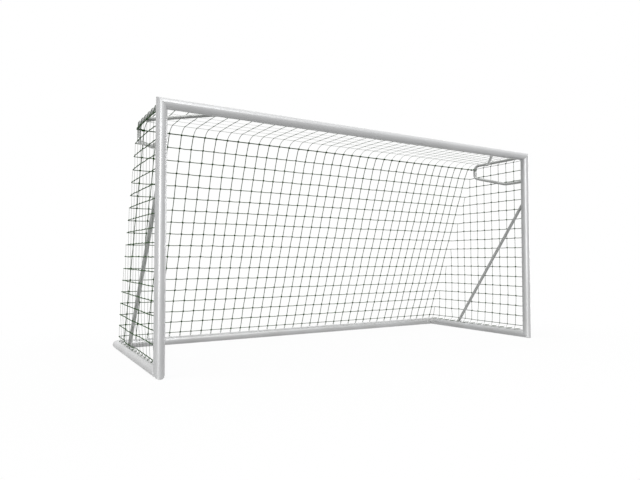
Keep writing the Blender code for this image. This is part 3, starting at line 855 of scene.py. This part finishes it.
def add_side_net(label, side, knots):
    """Side panel: its rows end at the fold, and its rear columns end where the fold passes."""
    skin = Skin()
    sag = (0.0, 0.0, -CORD_BOW)
    heights = [HEAD_ROW_Z, *ROW_ZS]
    last = len(heights) - 1
    knot = CORD_RADIUS * SIDE_KNOT_SHARES[label]
    folds = [None, *(row[-1 if side > 0 else 0][2] for row in knots)]
    grid = {}
    for row, z in enumerate(heights):
        for column, y in enumerate(SIDE_YS):
            if y < rearmost(row, z, last):
                here = y + column_shift(side, z)
                place = np.array((side * side_x(here, z), here, z - row_drop(side, z, here)))
                grid[row, column] = place if row in (0, last) else jitter(place, 0)
        if row == last:
            continue
        line = [grid[row, column] for column in range(SIDE_COUNT) if (row, column) in grid]
        held_z = z - row_drop(side, z, FRONT_Y)
        start = beside_post(side, held_z, EDGE_REACH + EDGE_RADIUS)
        turn = fold_points(side, folds[row]) if row else [rope_wrap(side, HEAD_ROW_TURN)]
        skin.tube(bowed([start, *line, *turn], sag), CORD_RADIUS if row else HEAD_ROW_RADII[label], Z_AXIS)
        add_knot(skin, beside_post(side, held_z), Z_AXIS, Y_AXIS, CORD_RADIUS, EDGE_RADIUS)
    for column in range(SIDE_COUNT):
        held = [row for row in range(len(heights)) if (row, column) in grid]
        line = [grid[row, column] for row in held]
        if held[0] == 0:
            add_knot(skin, line[0], Y_AXIS, X_AXIS, knot, HEAD_ROW_RADII[label])
        else:
            fold_z = folds[held[0] - 1] if held[0] > 1 else ROPE_Z - HEAD_FOLD_DROP
            line.insert(0, fold_points(side, fold_z)[-1])
        skin.tube(bowed(line, (0.0, 0.0, 0.0)), SIDE_COLUMN_RADII[label], Y_AXIS)
        for before, place, after in zip(line, line[1:-1], line[2:]):
            add_knot(skin, place, np.subtract(after, before), X_AXIS, knot, knot)
        add_knot(skin, line[-1], Y_AXIS, X_AXIS, knot * EDGE_KNOT_SHARE, EDGE_RADIUS)
        add_tie_down(skin, side, line[-1])
    return skin.object(f"knotted_{label}_net", NET_CORD, "net_cord", f"{label}_net")


def edge_path():
    """The cord round the net's whole edge: crossbar, posts, and the lowest row all the way round."""
    right = [(0.0, CROSS_EDGE_Y, CROSS_EDGE_Z), (POST_X - EDGE_TURN_START, CROSS_EDGE_Y, CROSS_EDGE_Z)]
    reach = EDGE_REACH + EDGE_TURN_CLEAR
    for degrees, drop in EDGE_TURN:
        angle = math.radians(degrees)
        x = POST_X - reach * math.sin(angle)
        right.append((x, FRONT_Y + reach * math.cos(angle), CROSS_EDGE_Z - drop))
    down = np.arange(CROSS_EDGE_Z - EDGE_POST_TOP, EDGE_Z + EDGE_POST_FOOT, -EDGE_POST_STEP)
    right += [tuple(beside_post(1, z)) for z in down]
    out, behind, above = EDGE_CORNER
    right.append((POST_X + out, FRONT_Y + EDGE_REACH + behind, EDGE_Z + above))
    fold = fold_points(1, EDGE_Z, True)
    back = np.arange(FRONT_Y + EDGE_REACH + EDGE_SIDE_START, fold[0][1] - EDGE_SIDE_END, EDGE_SIDE_STEP)
    right += [(side_x(y, EDGE_Z), y, EDGE_Z) for y in back]
    right += [tuple(place) for place in fold]
    right += [(x, back_y(EDGE_Z), EDGE_Z) for x in (POST_X - EDGE_REAR_INSET, 0.0)]
    right = np.array(right)
    left = right[::-1][1:-1] * (-1, 1, 1)
    for place in left:
        if place[2] <= EDGE_Z + above:
            place[2] -= row_drop(-1, EDGE_Z, place[1])
    return np.concatenate([right, left])


def resampled(path, step, closed):
    """The same path with points a step apart, its corners eased."""
    path = np.asarray(path, float)
    if closed:
        path = np.concatenate([path, path[:1]])
    lengths = np.concatenate(([0.0], np.cumsum(np.linalg.norm(np.diff(path, axis=0), axis=1))))
    count = int(lengths[-1] / step)
    places = np.linspace(0.0, lengths[-1], count, endpoint=not closed)
    points = np.stack([np.interp(places, lengths, path[:, axis]) for axis in range(3)], axis=1)
    for _ in range(2):
        eased = (np.roll(points, 1, axis=0) + 2 * points + np.roll(points, -1, axis=0)) / 4
        if not closed:
            eased[0], eased[-1] = points[0], points[-1]
        points = eased
    return points


def add_edge_cord():
    """One closed cord that all panels are knotted to."""
    skin = Skin()
    path = resampled(edge_path(), EDGE_STEP, True)
    skin.tube(path, EDGE_RADIUS, unit(np.array(EDGE_ACROSS)), EDGE_SIDES, closed=True)
    return skin.object("net_edge_cord", ROPE_CORD, "rope")


def rope_path():
    """The head rope, taut from hoop to hoop and wound round each hoop's bend."""
    turns = np.arange(0.0, 2 * math.pi * ROPE_WRAPS, ROPE_WRAP_STEP)
    straight = [(x, ROPE_Y, ROPE_Z) for x in (0.0, POST_X - ROPE_STRAIGHT_INSET)]
    right = np.array([*straight, *(rope_wrap(1, angle) for angle in turns)])
    left = right[::-1] * (-1, 1, 1)
    return np.concatenate([left[:-1], right[1:]])


def add_head_rope():
    """The rope with its wraps, and a lashing beside each hoop."""
    skin = Skin()
    path = resampled(rope_path(), ROPE_STEP, False)
    ends = (POST_X - HOOP_APPROACH, POST_X)
    radii = np.interp(abs(path[:, 0]), ends, (ROPE_RADIUS, ROPE_RADIUS * ROPE_END_SHARE))
    skin.tube(path, radii, unit(np.array(ROPE_ACROSS)), ROPE_SIDES)
    for side in SIDES.values():
        lashing = (side * (POST_X - LASHING_INSET), ROPE_Y, ROPE_Z)
        add_knot(skin, lashing, X_AXIS, Z_AXIS, CORD_RADIUS, ROPE_RADIUS, LASHING_TURNS)
    return skin.object("knotted_head_rope", ROPE_CORD, "rope", "head_rope")


def add_hooks(name, places, outward, tip, reach=HOOK_REACH, lip=HOOK_LIP):
    """Bent wire hooks: out from the tube, then over the cord, each with a collar at its root."""
    skin = Skin()
    outward = np.asarray(outward, float)
    tip = np.asarray(tip, float)
    across = np.cross(outward, tip)
    for place in places:
        root = np.asarray(place, float)
        elbow = root + outward * (TUBE_RADIUS + reach - HOOK_BEND)
        path = [root + outward * (TUBE_RADIUS - HOOK_ROOT), elbow - outward * HOOK_WIRE]
        for angle in map(math.radians, QUARTER_TURN):
            path.append(elbow + HOOK_BEND * (outward * math.sin(angle) + tip * (1 - math.cos(angle))))
        path.append(path[-1] + tip * (lip - HOOK_BEND - HOOK_FLARE_ROOM))
        path.append(path[-1] + tip * HOOK_FLARE[0] + outward * HOOK_FLARE[1])
        skin.tube(path, HOOK_WIRE, across, HOOK_SIDES)
        collar = [root + outward * (TUBE_RADIUS + rise) for rise, _ in HOOK_COLLAR]
        skin.tube(collar, [radius for _, radius in HOOK_COLLAR], across, COLLAR_SIDES)
    return skin.object(name, FRAME_COAT, "frame_coat")


def around(angle, first, second):
    """Unit vector at an angle from the first direction towards the second, and its tangent."""
    first, second = np.asarray(first, float), np.asarray(second, float)
    outward = first * math.cos(angle) + second * math.sin(angle)
    tangent = second * math.cos(angle) - first * math.sin(angle)
    return outward, tangent


def add_all_hooks(columns):
    """Hooks between the net's columns on the crossbar and posts; a stud under each mesh on the bars."""
    mids = [(n + 0.5) * TOP_COLUMN_PITCH for n in COLUMNS[:-1]]
    outward, tip = around(CROSS_EDGE_ANGLE + HOOK_TURN, Y_AXIS, Z_AXIS)
    add_hooks("crossbar_net_hooks", [(x, FRONT_Y, CROSSBAR_Z) for x in mids], outward, -tip)
    stud = {"reach": STUD_HEIGHT + HOOK_WIRE, "lip": STUD_LIP}
    lean, away = around(math.asin(-FOOT_INSET / TUBE_RADIUS), Z_AXIS, Y_AXIS)
    add_hooks("rear_bar_net_studs", [(x, REAR_Y, BAR_Z) for x in columns], lean, away, **stud)
    row_mids = [z - ROW_PITCH / 2 for z in ROW_ZS[:-1]]
    clear_of_hoop = [z for z in row_mids if abs(z - HOOP_FOOT_Z) > HOOP_HOOK_GAP]
    free = [z for z in clear_of_hoop if abs(z - BRACE_POST_HEIGHT) > BRACE_HOOK_GAP]
    for label, side in SIDES.items():
        outside = side * X_AXIS
        outward, tip = around(POST_HOOK_LEAN, Y_AXIS, outside)
        add_hooks(f"{label}_post_net_hooks", [(side * POST_X, FRONT_Y, z) for z in free], outward, tip)
        feet = [(side * POST_X, y - TIE_DOWN_REACH, BAR_Z) for y in SIDE_YS]
        add_hooks(f"{label}_bar_net_studs", feet, Z_AXIS, outside, **stud)


def cope_curve(centre, axis, radius, big_point, big_axis, big_radius):
    """Where a thin tube's skin meets the skin of a larger tube."""
    axis, big_axis = unit(np.asarray(axis, float)), unit(np.asarray(big_axis, float))
    side = unit(np.cross(axis, big_axis))
    up = np.cross(side, axis)
    curve = []
    for angle in np.linspace(0, 2 * math.pi, WELD_POINTS, endpoint=False):
        start = np.asarray(centre) + radius * (math.cos(angle) * side + math.sin(angle) * up)
        offset = start - np.asarray(big_point)
        flat_start = offset - big_axis * (offset @ big_axis)
        flat_axis = axis - big_axis * (axis @ big_axis)
        a = flat_axis @ flat_axis
        b = 2 * flat_start @ flat_axis
        c = flat_start @ flat_start - big_radius**2
        reach = (-b + math.sqrt(b * b - 4 * a * c)) / (2 * a)
        curve.append(start + axis * reach)
    return np.array(curve)


def add_weld(skin, curve, radius, across):
    """A bead with the ripples of its passes."""
    passes = WELD_RIPPLE * np.sin(np.arange(len(curve)) * WELD_RIPPLE_PACE)
    ripple = 1 + passes + RANDOM.normal(0, WELD_SCATTER, len(curve))
    skin.tube(curve, radius * ripple, across, WELD_SIDES, closed=True)


def add_welds():
    """Beads where hoops and braces meet their tubes, and along the mitres at the feet."""
    skin = Skin()
    run = unit(np.array((0.0, BRACE_BAR_REACH, BAR_Z - BRACE_POST_HEIGHT)))
    for side in SIDES.values():
        x = side * POST_X
        post = (x, FRONT_Y, 0.0)
        bar = (x, 0.0, BAR_Z)
        on_post = (x, FRONT_Y, BRACE_POST_HEIGHT)
        on_bar = (x, BRACE_FOOT_Y, BAR_Z)
        curves = [
            (cope_curve((x, FRONT_Y, HOOP_FOOT_Z), Y_AXIS, HOOP_RADIUS, post, Z_AXIS, TUBE_RADIUS), Y_AXIS),
            (cope_curve((x, FRONT_Y, CROSSBAR_Z), Y_AXIS, HOOP_RADIUS, post, Z_AXIS, TUBE_RADIUS), Y_AXIS),
            (cope_curve(on_post, run, BRACE_RADIUS, post, Z_AXIS, TUBE_RADIUS), run),
            (cope_curve(on_bar, -run, BRACE_RADIUS, bar, Y_AXIS, TUBE_RADIUS), run),
        ]
        for curve, across in curves:
            add_weld(skin, curve, WELD_RADIUS, across)
        angles = np.linspace(0, 2 * math.pi, MITRE_WELD_POINTS, endpoint=False)
        sideways, rise = TUBE_RADIUS * np.cos(angles), TUBE_RADIUS * np.sin(angles)
        mitre = np.stack([x + sideways, FRONT_Y + rise, BAR_Z + rise], axis=1)
        above_ground = mitre[:, 2] > MITRE_WELD_RADIUS
        start = int(np.argmax(above_ground & ~np.roll(above_ground, 1)))
        seam = np.roll(mitre, -start, axis=0)[: int(above_ground.sum())]
        skin.tube(seam, MITRE_WELD_RADIUS, unit(np.array(MITRE_ACROSS)), WELD_SIDES)
    return skin.object("weld_beads", FRAME_COAT, "frame_coat")


def screw_rings():
    """Rings of (radius, height, hexagon share) from the socket's floor out over the head to the tip."""
    rings = [
        (SOCKET_RADIUS, HEAD_HEIGHT - SOCKET_DEPTH, 1.0),
        (SOCKET_RADIUS, HEAD_HEIGHT - SOCKET_LIP, 1.0),
        (SOCKET_RADIUS + SOCKET_CHAMFER, HEAD_HEIGHT, CHAMFER_HEXAGON),
    ]
    for angle in np.radians(HEAD_DOME):
        height = HEAD_HEIGHT * math.sin(angle) * HEAD_DOME_SHARE + HEAD_RIM
        rings.append((HEAD_RADIUS * math.cos(angle), height, 0.0))
    return [
        *rings,
        (HEAD_RADIUS, 0.0, 0.0),
        (SHANK_RADIUS, 0.0, 0.0),
        (SHANK_RADIUS, -SHANK_LENGTH + SHANK_TAPER, 0.0),
        (SHANK_RADIUS - SHANK_TAPER, -SHANK_LENGTH, 0.0),
    ]


def screw_mesh():
    """One screw, its head up: rings joined by a skin, with a floor in the socket and a flat tip."""
    points, faces = [], []
    turns = [2 * math.pi * i / SCREW_SIDES for i in range(SCREW_SIDES)]
    rings = screw_rings()
    for radius, height, hexagonal in rings:
        for turn in turns:
            wedge = (turn % (math.pi / 3)) - math.pi / 6
            flat = math.cos(math.pi / 6) / math.cos(wedge)
            reach = radius * (hexagonal * flat * HEXAGON_SHARE + 1 - hexagonal)
            points.append((reach * math.cos(turn), reach * math.sin(turn), height))
    for ring in range(len(rings) - 1):
        for side in range(SCREW_SIDES):
            after = (side + 1) % SCREW_SIDES
            base, above = ring * SCREW_SIDES, (ring + 1) * SCREW_SIDES
            faces.append((base + side, above + side, above + after, base + after))
    faces.append(tuple(range(SCREW_SIDES)))
    last = (len(rings) - 1) * SCREW_SIDES
    faces.append(tuple(range(last, last + SCREW_SIDES))[::-1])
    mesh = bpy.data.meshes.new("socket_screw")
    mesh.from_pydata(points, [], faces)
    mesh.shade_smooth()
    mesh.set_sharp_from_angle(angle=SHARP_ANGLE)
    return mesh


def screw_seat(node):
    """Where a screw's head seats and which way it points, read from the node's own points."""
    obj = frame["nodes"][node]
    points = np.array([vert.co for vert in obj.data.vertices])
    low, high = points.min(axis=0), points.max(axis=0)
    axis = int(np.argmax(high - low))
    centre = (low + high) / 2
    across = np.delete(points - centre, axis, axis=1)
    wide = np.linalg.norm(across, axis=1) > SHANK_RADIUS * HEAD_FROM_SHANK
    direction = math.copysign(1.0, points[wide, axis].mean() - centre[axis])
    outward = np.zeros(3)
    outward[axis] = direction
    tip = low[axis] if direction > 0 else high[axis]
    seat = centre.copy()
    seat[axis] = tip + direction * SEAT_FROM_TIP
    return seat, outward


def add_screws():
    """A screw with its socket at the seat of each screw node, turned at random."""
    mesh = screw_mesh()
    for node in sorted(name for name in frame["nodes"] if "_screw" in name):
        seat, outward = screw_seat(node)
        copy = mesh.copy()
        spin = Matrix.Rotation(RANDOM.uniform(0, math.pi), 4, "Z")
        turn = Vector(outward).to_track_quat("Z", "Y").to_matrix().to_4x4()
        copy.transform(Matrix.Translation(Vector(seat)) @ turn @ spin)
        placed(node + "_socket_head", copy, STEEL, "screw", node)


def paint_nodes():
    """The finish of each node that stays in view, by its slot in the record."""
    finishes = {"frame_coat": FRAME_COAT, "hoop_coat": SHADED_THIN_COAT, "connector": CASTING, "screw": STEEL}
    for row in frame["record"]["subparts"]:
        finish = finishes.get(row["material_slot"])
        obj = frame["nodes"][row["node"]]
        if finish and not obj.hide_render:
            obj.data.materials.clear()
            obj.data.materials.append(finish)


def add_camera():
    data = bpy.data.cameras.new("camera")
    data.lens = CAMERA_LENS
    data.sensor_width = CAMERA_SENSOR
    data.clip_end = CAMERA_REACH
    camera = bpy.data.objects.new("camera", data)
    camera.location = CAMERA_PLACE
    camera.rotation_euler = [math.radians(angle) for angle in CAMERA_TURN]
    bpy.context.scene.collection.objects.link(camera)
    bpy.context.scene.camera = camera


def add_sun(name, azimuth, elevation, strength, spread):
    """A soft distant lamp; azimuth turns from the goal's front towards its left."""
    data = bpy.data.lights.new(name, "SUN")
    data.energy = strength
    data.angle = math.radians(spread)
    lamp = bpy.data.objects.new(name, data)
    a, e = math.radians(azimuth), math.radians(elevation)
    source = Vector((-math.sin(a) * math.cos(e), -math.cos(a) * math.cos(e), math.sin(e)))
    lamp.rotation_euler = source.to_track_quat("Z", "Y").to_euler()
    bpy.context.scene.collection.objects.link(lamp)


def seen_directly(nodes, links):
    """Share of rays that should meet plain white: the camera's, and those mirrored or let through."""
    rays = nodes.new("ShaderNodeLightPath")
    joined = rays.outputs["Is Camera Ray"]
    for output in ("Is Glossy Ray", "Is Transmission Ray"):
        larger = nodes.new("ShaderNodeMath")
        larger.operation = "MAXIMUM"
        links.new(joined, larger.inputs[0])
        links.new(rays.outputs[output], larger.inputs[1])
        joined = larger.outputs[0]
    return joined


def add_world():
    """Faint light from all round, and plain white where the surroundings are seen."""
    world = bpy.data.worlds.new("studio")
    bpy.context.scene.world = world
    world.use_nodes = True
    nodes, links = world.node_tree.nodes, world.node_tree.links
    nodes.clear()
    soft = nodes.new("ShaderNodeBackground")
    soft.inputs["Color"].default_value = AMBIENT_TONE
    soft.inputs["Strength"].default_value = AMBIENT
    white = nodes.new("ShaderNodeBackground")
    white.inputs["Color"].default_value = WHITE
    white.inputs["Strength"].default_value = 1.0
    mixed = nodes.new("ShaderNodeMixShader")
    links.new(seen_directly(nodes, links), mixed.inputs[0])
    links.new(soft.outputs[0], mixed.inputs[1])
    links.new(white.outputs[0], mixed.inputs[2])
    links.new(mixed.outputs[0], nodes.new("ShaderNodeOutputWorld").inputs["Surface"])


def add_floor():
    """A pale floor that keeps a soft shadow near the goal and turns plain white further out."""
    mesh = bpy.data.meshes.new("floor")
    corners = [(x * FLOOR_HALF, y * FLOOR_HALF, 0.0) for x, y in ((-1, -1), (1, -1), (1, 1), (-1, 1))]
    mesh.from_pydata(corners, [], [(0, 1, 2, 3)])
    floor = bpy.data.objects.new("studio_floor", mesh)
    bpy.context.scene.collection.objects.link(floor)
    made = Shader("floor_white")
    place = made.node("SeparateXYZ", {0: made.node("TexCoord").outputs["Object"]})
    low, high = cad_box
    beyond = [
        made.math("SUBTRACT", made.math("ABSOLUTE", place.outputs[axis]), reach)
        for axis, reach in (("X", high.x), ("Y", high.y))
    ]
    clear = [made.math("MAXIMUM", value, 0.0) for value in beyond]
    distance = made.math("SQRT", made.math("ADD", *[made.math("POWER", value, 2.0) for value in clear]))
    whiteness = made.span(distance, FADE_START, FADE_END, FLOOR_WHITE_NEAR, 1.0)
    direct = seen_directly(made.nodes, made.links)
    share = made.math("MULTIPLY", direct, whiteness)
    made.set(
        Base_Color=made.mix(direct, FLOOR_BOUNCE, FLOOR_TONE),
        Roughness=FLOOR_ROUGHNESS,
        Specular_IOR_Level=0.0,
    )
    glow = made.node("Emission", {"Color": WHITE, "Strength": 1.0})
    mixed = made.node("MixShader", {0: share, 1: made.surface.outputs[0], 2: glow.outputs[0]})
    made.links.new(mixed.outputs[0], made.nodes["Material Output"].inputs["Surface"])
    mesh.materials.append(made.material)


def build():
    knots, crossings = back_knots(), rope_columns()
    add_back_net(knots, crossings)
    add_top_net(top_knots(), crossings)
    for label, side in SIDES.items():
        add_side_net(label, side, knots)
    add_edge_cord()
    add_head_rope()
    add_all_hooks(knots[-1][:, 0])
    add_welds()
    add_screws()
    paint_nodes()


build()
add_camera()
for name, lamp in LAMPS.items():
    add_sun(name, *lamp)
add_world()
add_floor()
bpy.context.scene.view_settings.view_transform = "Standard"
